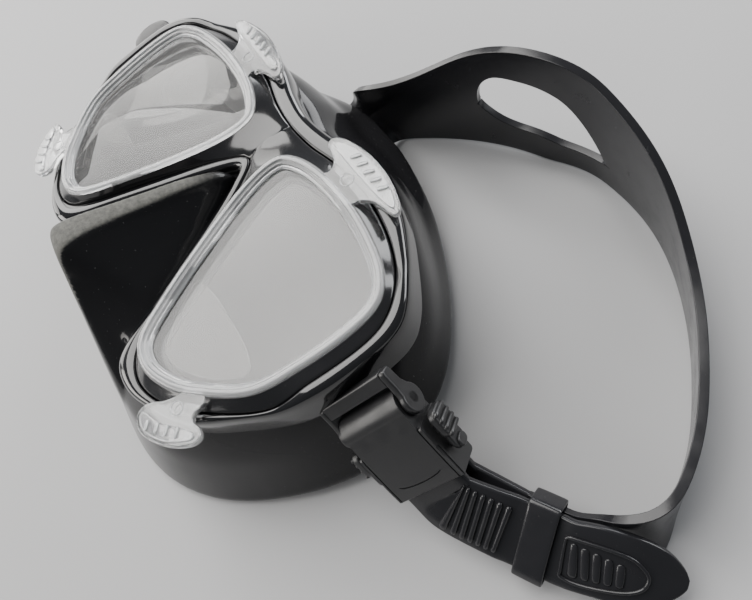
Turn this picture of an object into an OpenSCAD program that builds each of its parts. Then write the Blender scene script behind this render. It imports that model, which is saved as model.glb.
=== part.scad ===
// Two-window diving mask lying face up on its skirt, with its head strap looped beside it.
// +X is the wearer's left, +Y the forehead, +Z out through the lenses. The ground is z = 0.
// The origin is the centre of the face opening, on the mask's plane of symmetry.

/* [Windows] */
// Height of the retainers' front faces above the ground
rim_z = 48; // [46:1:52]
// Thickness of each glass
lens_t = 3; // [2.5:0.5:3]
// Width of a retainer's visible ring
ring_w = 4; // [3:0.5:4.5]
// Thickness of a bonded reading segment
segment_t = 1; // [0.8:0.1:1.1]

/* [Frame] */
// Depth of the frame cover's side wall
cover_depth = 11.5; // [9:0.5:12]
// Thickness of the inner frame
frame_t = 5; // [4:0.5:5]
// Gap between pieces that are assembled together
seam_gap = 0.15; // [0.1:0.05:0.3]

/* [Skirt] */
// Wall of the nose pocket
nose_wall = 2; // [1.5:0.5:3]
// How far the sealing flap's inner edge lies inside the outer edge, as a share of its size
flap_scale = 0.84; // [0.8:0.01:0.88]

/* [Strap] */
// Thickness of the silicone strap
strap_t = 2.4; // [2:0.1:2.4]
// Width of a strap end
strap_w = 19.5; // [18:0.5:19.5]

/* [Buckles] */
// Radius of a hinge pin
pin_r = 1.5; // [1.2:0.1:1.8]
// Running clearance between a hinge pin and its buckle
pin_clearance = 0.06; // [0.02:0.01:0.1]
// How far the mouth of a buckle lies from its hinge
buckle_length = 22.5; // [22:0.5:24]

/* [Hidden] */
$fn = 48;
samples = 4;           // points along an outline for each of its control points
skirt_samples = 3;     // the same around the skirt

// Heights
plate_z = rim_z - 8;               // top of the skirt's plate, under the inner frame
ledge_z = plate_z + 2.5;           // the glass stands on this ledge
glass_z = ledge_z + lens_t;        // front face of the glass
frame_top_z = plate_z + 0.2 + frame_t;
cover_top_z = rim_z - 3.5;

// Half outlines, from the forehead down to the nose or the lip, on the wearer's left
rim = [[9.8, 26], [14, 31.6], [25, 35.4], [41, 36.5], [56, 34.8], [66, 31.8], [72, 26.5],
    [74, 17], [73.5, 2], [70.3, -14], [59, -28], [50, -34.5], [41, -37], [33, -34],
    [26, -22.5], [17, -2.5], [10.8, 15]];
frame_half = [[0, 36.5], [12, 37.5], [24, 40], [40, 41], [56, 38.5], [68.5, 33], [75, 26.5],
    [77.7, 18], [77.3, 2], [75, -13], [63.5, -29], [54.5, -36.8], [44.5, -41], [35.5, -39],
    [29, -30.5], [22, -16], [14, 0.5], [7, 13], [0, 20.5]];
cover_half = [[0, 43], [12, 44.5], [24, 47.5], [38, 48.5], [50, 46.5], [62, 41], [74.5, 33.5],
    [80.5, 26], [82, 14], [81.3, 0], [78, -11], [70.5, -24], [63, -34.5], [53.5, -41], [43, -46],
    [33, -46], [27.5, -40], [22.5, -28], [14, -10], [6.5, 6], [0, 15.5]];
plate_half = [[0, 35.8], [18, 38.4], [38, 40.2], [62, 35.8], [75.5, 24], [77, 4],
    [73, -15], [58, -33.5], [40, -41.8], [0, -42]];
wall_half = [[0, 50], [17, 52], [38, 50], [65, 40.5], [80, 26], [84, 4],
    [79, -21], [62, -45], [40, -57], [0, -60]];
edge_half = [[0, 62], [18, 60.8], [40, 55], [66, 41.5], [84, 25], [91, 3],
    [84, -26], [66, -54], [40, -68.5], [0, -70]];
lip_z = [13, 12.5, 5, 4.6, 4.6, 4.6, 0, 0, 0, 0];     // underside of the skirt at the same points

// A reading segment: the foot of the glass below a nearly straight top edge
segment = [[24, -13], [28, -10.3], [40, -9.5], [56, -9.5], [62.3, -11.5], [63, -16.5],
    [57, -24.5], [49, -30.5], [41, -32.3], [34.5, -29.5], [28.5, -22]];

// Left buckle: its hinge, and how it is turned at rest (roll, pitch, yaw)
hinge = [90, 9, 32];
turn = [35, 40, 6];
right_roll = 5;                    // the right buckle's roll: its hinge lies flatter, below the rim
foot_x = 10.8;                     // how far in from the hinge the mounts' feet reach
layer_gap = 1.6;                   // half the gap between the two layers inside a buckle
bar_x = 10;                        // place of the strap bar
body_inner_h = layer_gap + strap_t;
body_half_w = 11.2;
peg_x = 15.5;                      // the release pegs enter the walls here
mouth_x = buckle_length + 2.8;     // the free strap starts here, clear of the turning buckle
held = 0.15 + strap_t / 2;         // a layer's middle, where two layers lie together

// The strap's free run: middle point, width direction's roll, and height of each station
keeper_mid = [133.6, 23.5, 10.6];
keeper_yaw = 31;
strap_run = [
    [[139.6, 28, 9.5], 37, 19.5], [[143.8, 33, 8.8], 36, 19.5], [[146, 39, 8.8], 50, 19.5],
    [[146.4, 45.3, 9.6], 70, 19.5], [[145.5, 51.5, 10.4], 88, 19.5], [[143, 57.5, 10.6], 90, 20],
    [[139.5, 63.5, 10.6], 90, 20], [[134.5, 70.5, 10.6], 90, 20.5], [[127, 78, 10.9], 90, 21],
    [[118, 86, 11.2], 90, 21.5], [[109, 92.5, 11.6], 90, 22.5], [[98, 99, 12.6], 90, 24.5],
    [[86, 103.7, 15.6], 90, 30.5], [[74, 106, 18.9], 90, 37], [[61, 106.4, 21.4], 90, 41.9],
    [[57, 106, 22], 90, 43.2], [[52, 105.2, 22.8], 90, 45], [[46.5, 103, 24.3], 90, 48],
    [[41, 100.5, 25.1], 90, 49.5], [[35, 98, 24.9], 90, 49], [[29, 95, 23.7], 90, 46.5],
    [[24.5, 92.5, 22.3], 90, 43.8], [[20, 90.2, 20.8], 90, 41], [[16, 87.8, 19.4], 90, 38],
    [[4, 78.5, 15.9], 90, 31], [[-4, 71, 14.4], 90, 28], [[-11, 64.8, 13], 94, 25.5],
    [[-14.5, 62.3, 9.3], 124, 21], [[-18.5, 58, 4.9], 152, 20], [[-24.5, 51.5, 2.4], 174, 19.5],
    [[-32, 44.6, 1.6], 180, 19.5], [[-48, 33.5, 1.6], 180, 19.5], [[-68, 25, 1.6], 180, 19.5],
    [[-92, 18, 1.6], 180, 19.5], [[-112, 14.4, 1.6], 180, 19.5], [[-130, 13.5, 1.6], 180, 19.5],
    [[-137.5, 13.5, 1.6], 180, 19.5]];
split_from = 14;                   // the split opens at this station
split_to = 22;                     // and closes at this one
split_low = [0, 3.6, 6.2, 9.8, 11.8, 12.8, 13.4, 15.5, 19];       // its lower edge, above the ground
split_high = [0, 14.6, 20.5, 29.5, 34.5, 36.3, 36, 31, 21.5];     // its upper edge
tail_run = [[[140, 27.5, 10.9], 37, 9.6], [[145, 32.2, 11.3], 34, 9.2],
    [[149.8, 37, 11], 31, 8.2], [[153.6, 41.8, 9.7], 30, 6.2], [[156.4, 46.4, 8.6], 30, 2.8]];
right_keeper_mid = [-128, 13.5, 8.4];
fold_x = -139;                     // the right strap end folds under itself here
fold_r = 2.7;

function mirrored(half) = concat(half, [for (i = [len(half) - 1:-1:0])
    if (half[i].x > 0) [-half[i].x, half[i].y]]);
// Closed Catmull-Rom curve through the control points, k samples for each
function curve(p, k) = [for (i = [0:len(p) - 1], s = [0:k - 1])
    let (n = len(p), t = s / k, a = p[(i + n - 1) % n], b = p[i], c = p[(i + 1) % n], d = p[(i + 2) % n])
    0.5 * (2 * b + (c - a) * t + (2 * a - 5 * b + 4 * c - d) * t * t + (3 * b - a - 3 * c + d) * t * t * t)];
// The same outline moved inwards by d; the outlines run clockwise
function inset(p, d) = [for (i = [0:len(p) - 1])
    let (n = len(p), v = p[(i + 1) % n] - p[(i + n - 1) % n], u = v / norm(v)) p[i] + d * [u.y, -u.x]];
function raised(p, z) = [for (i = [0:len(p) - 1]) [p[i].x, p[i].y, is_list(z) ? z[i] : z]];
function sized(p, k) = [for (q = p) [k * q.x, k * (q.y + 4) - 4]];

// Turning by roll, pitch and yaw
function roll(v, a) = [v.x, v.y * cos(a) - v.z * sin(a), v.y * sin(a) + v.z * cos(a)];
function pitch(v, a) = [v.x * cos(a) + v.z * sin(a), v.y, v.z * cos(a) - v.x * sin(a)];
function yaw(v, a) = [v.x * cos(a) - v.y * sin(a), v.x * sin(a) + v.y * cos(a), v.z];
function turned(v, a = turn.x) = yaw(pitch(roll(v, a), turn.y), turn.z);
function left_at(v) = hinge + turned(v);
function right_at(v) = flip(hinge + turned(v, right_roll));
function flip(v) = [-v.x, v.y, v.z];
// Width direction of a strap heading along u in plan, rolled by a
function width_dir(u, a) = let (n = norm([u.x, u.y]))
    [-u.y / n * cos(a), u.x / n * cos(a), sin(a)];
function unit(v) = v / norm(v);

module plan(points, low, high) {
    translate([0, 0, low]) linear_extrude(high - low) polygon(points);
}

// A closed strip: stations are [middle, width vector, from, to], t is its thickness
module strip(stations, t) {
    n = len(stations);
    along = [for (i = [0:n - 1]) unit(stations[min(i + 1, n - 1)][0] - stations[max(i - 1, 0)][0])];
    points = [for (i = [0:n - 1])
        let (s = stations[i], w0 = s[1], w = unit(w0 - (w0 * along[i]) * along[i]), m = cross(along[i], w))
        each [s[0] + w * s[2] - m * t / 2, s[0] + w * s[3] - m * t / 2,
            s[0] + w * s[3] + m * t / 2, s[0] + w * s[2] + m * t / 2]];
    faces = concat([[0, 1, 2, 3]], [[4 * n - 1, 4 * n - 2, 4 * n - 3, 4 * n - 4]],
        [for (i = [0:n - 2], k = [0:3]) each [
            [4 * i + k, 4 * i + 4 + k, 4 * i + (k + 1) % 4],
            [4 * i + (k + 1) % 4, 4 * i + 4 + k, 4 * i + 4 + (k + 1) % 4]]]);
    polyhedron(points, faces);
}

// The same with a long split: stations 4 and 5 are the split's edges, equal where it is closed
module split_strip(stations, t) {
    n = len(stations);
    along = [for (i = [0:n - 1]) unit(stations[min(i + 1, n - 1)][0] - stations[max(i - 1, 0)][0])];
    open = [for (s = stations) len(s) > 4 && s[5] > s[4]];
    points = [for (i = [0:n - 1])
        let (s = stations[i], w = unit(s[1] - (s[1] * along[i]) * along[i]), m = cross(along[i], w) * t / 2,
            middle = (s[2] + s[3]) / 2, levels = [s[2], open[i] ? s[4] : middle, open[i] ? s[5] : middle, s[3]])
        each [for (level = levels, side = [-1, 1]) s[0] + w * level + m * side]];
    // Corners of station i as level and side; where the split is closed its two edges are one
    function corner(i, c) = 8 * i + 2 * (c.x == 2 && !open[i] ? 1 : c.x) + c.y;
    function wall(i, c, d) = [[corner(i, c), corner(i + 1, c), corner(i, d)],
        [corner(i, d), corner(i + 1, c), corner(i + 1, d)]];
    outer = [[[0, 0], [1, 0]], [[2, 0], [3, 0]], [[3, 0], [3, 1]], [[3, 1], [2, 1]], [[1, 1], [0, 1]],
        [[0, 1], [0, 0]]];
    inner = [[[1, 0], [1, 1]], [[2, 1], [2, 0]]];
    cap = [[0, 0], [1, 0], [3, 0], [3, 1], [1, 1], [0, 1]];
    faces = concat([[for (c = cap) corner(0, c)]], [[for (k = [5:-1:0]) corner(n - 1, cap[k])]],
        [for (i = [0:n - 2], e = concat(outer, open[i] || open[i + 1] ? inner : [])) each wall(i, e[0], e[1])]);
    polyhedron(points, faces);
}

// A closed solid through rings of equal length, capped at both ends
module loft(rings) {
    n = len(rings[0]);
    last = n * (len(rings) - 1);
    points = [for (r = rings) each r];
    faces = concat([[for (i = [0:n - 1]) i]], [[for (i = [n - 1:-1:0]) last + i]],
        [for (r = [0:len(rings) - 2], i = [0:n - 1]) let (a = n * r, j = (i + 1) % n) each [
            [a + i, a + n + i, a + n + j], [a + i, a + n + j, a + j]]]);
    polyhedron(points, faces);
}

function skirt_ring(half) = curve(mirrored(half), skirt_samples);
function skirt_heights(h) = let (full = concat(h, [for (i = [len(h) - 2:-1:1]) h[i]]), n = len(full))
    [for (i = [0:n - 1], s = [0:skirt_samples - 1]) let (t = s / skirt_samples)
        full[i] * (1 - t) + full[(i + 1) % n] * t];

function skirt_mid_z() = (plate_z + 5) / 2;

// The skirt's outside as a full body, from its plate down to the underside of its lip
module skirt_outside() {
    plate = skirt_ring(plate_half);
    edge = skirt_ring(edge_half);
    low = skirt_heights(lip_z);
    loft([raised(plate, plate_z), raised(plate, plate_z - 4), raised(skirt_ring(wall_half), skirt_mid_z()),
        raised(edge, [for (z = low) z + 3.2]), raised(sized(edge, 0.985), low), raised(sized(edge, 0.95), low),
        raised(sized(edge, flap_scale), [for (z = low) z + 0.9]),
        raised(sized(edge, flap_scale * 0.6), [for (z = low) z + 0.9])]);
}

// The space inside it, open to the face through the sealing flap
module skirt_inside() {
    plate = skirt_ring(plate_half);
    edge = skirt_ring(edge_half);
    low = skirt_heights(lip_z);
    loft([raised(sized(plate, 0.94), plate_z - 2.5), raised(sized(plate, 0.95), plate_z - 4.5),
        raised(sized(skirt_ring(wall_half), 0.96), skirt_mid_z()),
        raised(sized(edge, 0.955), [for (z = low) z + 4.8]),
        raised(sized(edge, flap_scale), [for (z = low) z + 2.6]),
        raised(sized(edge, flap_scale), [for (z = low) z + 0.1]),
        raised(sized(edge, flap_scale * 0.5), [for (z = low) z - 2])]);
}

// Wedge over the diver's nose, from the bridge to its blunt tip; wall is taken off every side
module nose(wall) {
    hull() {
        translate([0, 10, plate_z + 3.5]) sphere(2.6 - wall * 0.7, $fn = 24);
        for (side = [-1, 1]) {
            translate([side * 3, -33.8, rim_z + 12.6]) sphere(5 - wall, $fn = 24);
            translate([side * 15.5, -34, plate_z - 4]) sphere(5.5 - wall, $fn = 24);
            translate([side * 11, -55, plate_z - 16]) sphere(6 - wall, $fn = 24);
            translate([side * 4.5, 6, plate_z - 4]) sphere(3 - wall, $fn = 24);
        }
    }
}

// resize to its own size turns the whole moulding into one skin
module skirt() {
    color([0.06, 0.06, 0.07]) resize([0, 0, 0]) difference() {
        union() {
            skirt_outside();
            nose(0);
        }
        skirt_inside();
        nose(nose_wall);
        for (side = [0, 1]) mirror([side, 0, 0])
            plan(inset(curve(rim, samples), 5), plate_z - 3, plate_z + 1);
    }
}

module both_windows(grow, low, high) {
    for (side = [0, 1]) mirror([side, 0, 0]) plan(inset(curve(rim, samples), -grow), low, high);
}

module main_frame() {
    color([0.1, 0.1, 0.11]) difference() {
        plan(curve(mirrored(frame_half), samples), plate_z + 0.2, frame_top_z);
        both_windows(seam_gap, ledge_z, frame_top_z + 1);
        both_windows(-5, plate_z - 1, ledge_z + 1);
    }
}

// The skirt's outline a little below its plate, where the cover's wall ends
under_cover = plate_half * 0.73 + wall_half * 0.27;

module frame_cover() {
    outer = curve(mirrored(cover_half), samples);
    color([0.03, 0.03, 0.035]) difference() {
        union() {
            plan(outer, cover_top_z - cover_depth, cover_top_z - 2);
            plan(inset(outer, 1.2), cover_top_z - 2, cover_top_z);
        }
        plan(inset(curve(mirrored(frame_half), samples), -seam_gap), plate_z, cover_top_z + 1);
        plan(inset(curve(mirrored(plate_half), samples), -0.3), plate_z - 6, plate_z + 0.3);
        plan(inset(curve(mirrored(under_cover), samples), -0.4), cover_top_z - cover_depth - 1, plate_z - 3.9);
    }
}

module lens() {
    color([0.75, 0.8, 0.8, 0.4]) plan(inset(curve(rim, samples), 2), ledge_z, glass_z);
}

module reading_segment() {
    color([0.8, 0.85, 0.85, 0.5]) intersection() {
        plan(curve(segment, samples), ledge_z - segment_t, ledge_z);
        plan(inset(curve(rim, samples), 5.2), ledge_z - 3, ledge_z + 1);
    }
}

module clip_pad(middle, angle, length, width) {
    translate([middle.x, middle.y]) rotate(angle) hull() {
        for (side = [-1, 1]) translate([side * (length - width) / 2, 0]) circle(d = width, $fn = 32);
    }
}

// Clear ring that holds the glass, with two clip tabs over the frame
module lens_retainer() {
    outer = curve(rim, samples);
    tab_low = frame_top_z + 0.2;
    color([0.85, 0.88, 0.9, 0.5]) {
        difference() {
            plan(outer, ledge_z, rim_z);
            plan(inset(outer, 2.0), ledge_z - 1, glass_z + 0.05);
            plan(inset(outer, ring_w), ledge_z - 1, rim_z + 1);
        }
        translate([0, 0, tab_low]) linear_extrude(rim_z - 0.4 - tab_low) difference() {
            union() {
                polygon([[27, 34], [42, 34], [43, 43], [29, 43]]);
                clip_pad([35.5, 44.6], 4, 35, 8.4);
                polygon([[54, -27.5], [64, -19.5], [69.5, -31], [61, -37]]);
                clip_pad([63.8, -36.6], 40, 22, 9);
            }
            polygon(inset(outer, 0.5));
        }
    }
}

// Pieces of a buckle, in the buckle's own frame: X to the mouth, Y along the hinge
module at_hinge() {
    translate(hinge) rotate([$roll, turn.y, turn.z]) children();
}

module along_y(r, half, x) {
    translate([x, 0, 0]) rotate([90, 0, 0]) cylinder(r = r, h = 2 * half, center = true);
}

// Foot on the frame's side wall and the two ears that carry the hinge pin
module buckle_mount() {
    color([0.07, 0.07, 0.075]) at_hinge() difference() {
        union() {
            translate([-foot_x, -10.4, -0.5]) cube([foot_x - 6.4, 20.8, 3.5]);
            for (side = [-1, 1]) {
                translate([-9, side * 11.4 - 1, -1]) cube([9, 2, 4]);
                translate([0, side * 11.4, 0]) rotate([90, 0, 0]) cylinder(r = 4.2, h = 2, center = true);
            }
        }
        along_y(pin_r, 14, 0);
    }
}

module hinge_pin() {
    color([0.5, 0.5, 0.52]) at_hinge() along_y(pin_r, 12.4, 0);
}

// Barrel on the hinge, and a box open at its mouth that the strap runs through
module buckle_body() {
    length = buckle_length;
    outer_h = body_inner_h + 1.6;
    color([0.08, 0.08, 0.085]) at_hinge() difference() {
        union() {
            along_y(5, 10.1, 0);
            translate([0, -10.1, -outer_h]) cube([7, 20.2, 2 * outer_h - 0.4]);
            translate([5.6, -body_half_w, -outer_h]) cube([length - 5.6, 2 * body_half_w, 2 * outer_h]);
        }
        translate([5.8, -strap_w / 2 - 0.2, -body_inner_h - 0.1])
            cube([length, strap_w + 0.4, 2 * body_inner_h + 0.2]);
        translate([-7, -11, -outer_h - 1]) cube([7, 22, outer_h + 1 - 5]);
        along_y(pin_r + pin_clearance, 14, 0);
        along_y(layer_gap, 14, bar_x);
        along_y(1.26, 14, peg_x);
    }
}

// Fixed bar that the strap turns round
module strap_bar() {
    color([0.12, 0.12, 0.125]) at_hinge() along_y(layer_gap, body_half_w, bar_x);
}

// Toothed bar between the two layers; it bites the toothed layer and drops when released
module latch_pawl() {
    color([0.15, 0.15, 0.16]) at_hinge() translate([17.4, -9, -0.9]) {
        cube([2.6, 18, 1.8]);
        translate([0.8, 0, 1.8]) cube([1, 18, 0.5]);
    }
}

// Side arm with its peg through the buckle's wall and a ribbed thumb pad
module button(side) {
    color([0.09, 0.09, 0.095]) at_hinge() mirror([0, side < 0 ? 1 : 0, 0]) {
        translate([4.8, 12.9, -3]) cube([12.7, 1.4, 6]);
        translate([4.8, 12.9, -3.6]) cube([8.2, 2.4, 7.2]);
        for (k = [0:3]) translate([6.1 + 1.95 * k, 15.3, 0]) cylinder(r = 0.85, h = 7.2, center = true);
        translate([peg_x, 10.6, 0]) rotate([90, 0, 0]) cylinder(r = 1.2, h = 4.8, center = true);
    }
}

// The strap where it turns round the bar, with both layers out to the mouth
module strap_bend() {
    color([0.05, 0.05, 0.055]) at_hinge() {
        difference() {
            along_y(body_inner_h, strap_w / 2, bar_x);
            along_y(layer_gap + 0.05, strap_w, bar_x);
            translate([bar_x, -strap_w, -10]) cube([20, 2 * strap_w, 20]);
        }
        for (low = [-body_inner_h, layer_gap])
            translate([bar_x, -strap_w / 2, low]) cube([buckle_length - 0.5 - bar_x, strap_w, strap_t]);
    }
}

// Stations from a buckle's mouth to its keeper, layer is 1 for the tail and -1 for the main run
function keeper_dir() = yaw([1, 0, 0], keeper_yaw);
function keeper_up() = cross(keeper_dir(), width_dir(keeper_dir(), 37));
function mouth_run(layer) = let (w = turned([0, 1, 0]), u = keeper_dir(), up = keeper_up(), half = strap_w / 2,
        d = layer * (layer_gap + strap_t / 2))
    [[left_at([mouth_x, 0, d]), w, -half, half],
     [left_at([mouth_x + 1.8, 0, d]), w, -half, half],
     [left_at([mouth_x + 5.6, 0, d]) + [0.6, 0.7, 1.2], w, -half, half],
     [keeper_mid - 11 * u + layer * (held + 0.9) * up + [0, 0, 1.1], width_dir(u, 37), -half, half],
     [keeper_mid - 6.5 * u + layer * (held + 0.3) * up, width_dir(u, 37), -half, half],
     [keeper_mid + 3 * u + layer * held * up, width_dir(u, 37), -half, half]];

function right_mouth_run(layer) = let (w = flip(turned([0, 1, 0], right_roll)), half = strap_w / 2,
        d = layer * (layer_gap + strap_t / 2), up = [0, 0, layer * held])
    [[right_at([mouth_x, 0, d]), w, -half, half],
     [right_at([mouth_x + 1.8, 0, d]), w, -half, half],
     [right_at([mouth_x + 5.6, 0, d]) + [-0.4, 0.2, 1.2], [0.03, 0.99, 0.12], -half, half],
     [right_keeper_mid + [9, 0, 0.8] + up * (held + 1.1) / held, [0, 1, 0.12], -half, half],
     [right_keeper_mid + [5, 0, 0.1] + up * (held + 0.2) / held, [0, 1, 0], -half, half],
     [right_keeper_mid + [-5, 0, 0] + up, [0, 1, 0], -half, half]];

function run_dir(i) = let (n = len(strap_run))
    strap_run[min(i + 1, n - 1)][0] - strap_run[max(i - 1, 0)][0];
// A station of the free run: middle, width vector, lower edge, upper edge, and the split's two edges
function run_station(i) = let (s = strap_run[i], k = i - split_from, open = i > split_from && i < split_to)
    [s[0], width_dir(run_dir(i), s[1]), -s[2] / 2, s[2] / 2,
        open ? split_low[k] - s[0].z : 0, open ? split_high[k] - s[0].z : 0];
function fold_station(a) =
    [[fold_x - fold_r * sin(a), right_keeper_mid.y, 1.6 + fold_r * (1 - cos(a))], [0, 1, 0], -strap_w / 2, strap_w / 2];
function backwards(list) = [for (i = [len(list) - 1:-1:0]) list[i]];

module strap() {
    stations = concat(mouth_run(-1), [for (i = [0:len(strap_run) - 1]) run_station(i)],
        [for (a = [0:30:180]) fold_station(a)], backwards(right_mouth_run(-1)));
    color([0.05, 0.05, 0.055]) split_strip(stations, strap_t);
}

module left_strap_tail() {
    lift = held * keeper_up();
    stations = [for (i = [0:len(tail_run) - 1])
        let (n = len(tail_run), u = tail_run[min(i + 1, n - 1)][0] - tail_run[max(i - 1, 0)][0], s = tail_run[i])
        [s[0] + lift, width_dir(u, s[1]), -s[2], s[2]]];
    color([0.05, 0.05, 0.055]) strip(concat(mouth_run(1), stations), strap_t);
}

module right_strap_tail() {
    end = right_keeper_mid + [0, 0, held];
    half = strap_w / 2;
    color([0.05, 0.05, 0.055]) strip(concat(right_mouth_run(1), [
        [end + [-10, 0, 0.3], [0, 1, 0], -half, half], [end + [-15, 0, 0.2], [0, 1, 0], -7.5, 7.5],
        [end + [-18, 0, 0], [0, 1, 0], -3, 3]]), strap_t);
}

// Closed loop round both layers
module keeper_loop() {
    inner_h = strap_t + 0.7;
    color([0.07, 0.07, 0.075]) difference() {
        cube([8, strap_w + 4.2, 2 * inner_h + 2.2], center = true);
        cube([9, strap_w + 1, 2 * inner_h], center = true);
    }
}

module left_keeper() {
    translate(keeper_mid - keeper_dir()) rotate([37, 0, keeper_yaw]) keeper_loop();
}

module right_keeper() {
    translate(right_keeper_mid) keeper_loop();
}

module left() {
    $roll = turn.x;
    children();
}

module right() {
    $roll = right_roll;
    mirror([1, 0, 0]) children();
}

skirt();
main_frame();
frame_cover();
left() lens();  // left_lens
right() lens();  // right_lens
left() lens_retainer();  // left_lens_retainer
right() lens_retainer();  // right_lens_retainer
left() reading_segment();  // left_reading_segment
right() reading_segment();  // right_reading_segment
left() buckle_mount();  // left_buckle_mount
right() buckle_mount();  // right_buckle_mount
left() hinge_pin();  // left_hinge_pin
right() hinge_pin();  // right_hinge_pin
left() buckle_body();  // left_buckle_body
right() buckle_body();  // right_buckle_body
left() strap_bar();  // left_strap_bar
right() strap_bar();  // right_strap_bar
left() latch_pawl();  // left_latch_pawl
right() latch_pawl();  // right_latch_pawl
left() button(1);  // left_upper_button
right() button(1);  // right_upper_button
left() button(-1);  // left_lower_button
right() button(-1);  // right_lower_button
left() strap_bend();  // left_strap_bend
right() strap_bend();  // right_strap_bend
left_strap_tail();
right_strap_tail();
strap();
left_keeper();
right_keeper();
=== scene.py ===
"""Diving mask with a glossy frame, clear lens retainers, swivelling buckles and a silicone strap.

Row frame, in metres: +X is the wearer's left, +Y the forehead, +Z out through the lenses, ground at z = 0.
Outlines and routes below are the CAD part's own, in millimetres, and mm turns them into metres.
"""

import math

import bmesh
import bpy
import numpy as np
from mathutils import Matrix, Vector


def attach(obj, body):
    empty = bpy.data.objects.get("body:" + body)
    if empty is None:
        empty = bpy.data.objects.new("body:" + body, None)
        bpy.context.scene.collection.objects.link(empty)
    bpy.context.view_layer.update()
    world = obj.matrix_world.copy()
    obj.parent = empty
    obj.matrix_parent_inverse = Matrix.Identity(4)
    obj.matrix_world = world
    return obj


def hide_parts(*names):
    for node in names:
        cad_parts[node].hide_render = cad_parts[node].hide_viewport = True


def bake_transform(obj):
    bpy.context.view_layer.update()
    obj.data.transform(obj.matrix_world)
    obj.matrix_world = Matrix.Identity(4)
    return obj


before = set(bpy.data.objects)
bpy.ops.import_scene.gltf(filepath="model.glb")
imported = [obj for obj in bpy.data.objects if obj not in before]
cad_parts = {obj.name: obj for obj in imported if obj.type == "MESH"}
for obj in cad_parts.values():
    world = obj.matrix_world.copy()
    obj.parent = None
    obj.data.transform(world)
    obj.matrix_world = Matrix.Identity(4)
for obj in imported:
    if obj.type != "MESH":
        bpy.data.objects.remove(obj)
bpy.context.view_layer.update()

MM = 0.001
MASK = "mask"

PLATE_Z = 40.0          # top of the skirt's plate, as in the CAD part
OUTLINE_SAMPLES = 10

# Half outlines from the forehead down to the nose or the lip, on the wearer's left
RIM = [(9.8, 26), (14, 31.6), (25, 35.4), (41, 36.5), (56, 34.8), (66, 31.8), (72, 26.5), (74, 17),
       (73.5, 2), (70.3, -14), (59, -28), (50, -34.5), (41, -37), (33, -34), (26, -22.5), (17, -2.5),
       (10.8, 15)]
FRAME_HALF = [(0, 36.5), (12, 37.5), (24, 40), (40, 41), (56, 38.5), (68.5, 33), (75, 26.5), (77.7, 18),
              (77.3, 2), (75, -13), (63.5, -29), (54.5, -36.8), (44.5, -41), (35.5, -39), (29, -30.5),
              (22, -16), (14, 0.5), (7, 13), (0, 20.5)]
COVER_HALF = [(0, 43), (12, 44.5), (24, 47.5), (38, 48.5), (50, 46.5), (62, 41), (74.5, 33.5), (80.5, 26),
              (82, 14), (81.3, 0), (78, -11), (70.5, -24), (63, -34.5), (53.5, -41), (43, -46), (33, -46),
              (27.5, -40), (22.5, -28), (14, -10), (6.5, 6), (0, 15.5)]
PLATE_HALF = [(0, 35.8), (18, 38.4), (38, 40.2), (62, 35.8), (75.5, 24), (77, 4), (73, -15), (58, -33.5),
              (40, -41.8), (0, -42)]
WALL_HALF = [(0, 50), (17, 52), (38, 50), (65, 40.5), (80, 26), (84, 4), (79, -21), (62, -45), (40, -57),
             (0, -60)]
EDGE_HALF = [(0, 62), (18, 60.8), (40, 55), (66, 41.5), (84, 25), (91, 3), (84, -26), (66, -54),
             (40, -68.5), (0, -70)]
LIP_Z = [13, 12.5, 5, 4.6, 4.6, 4.6, 0, 0, 0, 0]
SIDES = (("left", 1), ("right", -1))


# ---------------------------------------------------------------- outlines

def catmull_rom(a, b, c, d, t):
    """The place at share t between b and c of four points in a row."""
    return 0.5 * (2 * b + (c - a) * t + (2 * a - 5 * b + 4 * c - d) * t * t
                  + (3 * b - a - 3 * c + d) * t ** 3)


def smooth_loop(points, samples=OUTLINE_SAMPLES):
    """Closed Catmull-Rom curve through the points, as an array."""
    p = np.array(points, float)
    a, b, c, d = np.roll(p, 1, 0), p, np.roll(p, -1, 0), np.roll(p, -2, 0)
    rows = [catmull_rom(a, b, c, d, t) for t in np.arange(samples) / samples]
    return np.stack(rows, 1).reshape(-1, p.shape[1])


def smooth_path(points, samples):
    """Open Catmull-Rom curve through the points, ends included."""
    p = np.array(points, float)
    ext = np.vstack([2 * p[0] - p[1], p, 2 * p[-1] - p[-2]])
    rows = [catmull_rom(*ext[i:i + 4], t) for i in range(len(p) - 1) for t in np.arange(samples) / samples]
    return np.array(rows + [p[-1]])


def mirrored(half):
    return list(half) + [(-q[0], *q[1:]) for q in reversed(half) if q[0] > 0]


def shut(loop):
    return np.vstack([loop, loop[:1]])


def run_along(line):
    """How far along the line each of its points lies."""
    return np.concatenate([[0], np.cumsum(np.linalg.norm(np.diff(line, axis=0), axis=1))])


def at_runs(line, run, at):
    """The line's places at the given runs along it."""
    return np.stack([np.interp(at, run, line[:, k]) for k in range(line.shape[1])], -1)


def resample(loop, count):
    """The same loop with count points, evenly spaced along it."""
    line = shut(loop)
    run = run_along(line)
    return at_runs(line, run, np.linspace(0, run[-1], count, endpoint=False))


def drawn_even(values, passes):
    """Each value is drawn towards its neighbours, in place; both ends are held."""
    for _ in range(passes):
        values[1:-1] = 0.25 * values[:-2] + 0.5 * values[1:-1] + 0.25 * values[2:]
    return values


def inner_side(loop):
    """Unit directions towards the inside of a clockwise loop."""
    step = np.roll(loop, -1, 0) - np.roll(loop, 1, 0)
    step /= np.linalg.norm(step, axis=1)[:, None]
    return np.stack([step[:, 1], -step[:, 0]], 1)


def inward(loop, distance):
    """A clockwise loop moved inwards by a distance."""
    return loop + distance * inner_side(loop)


def mix(a, b, t):
    return a * (1 - t) + b * t


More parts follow.
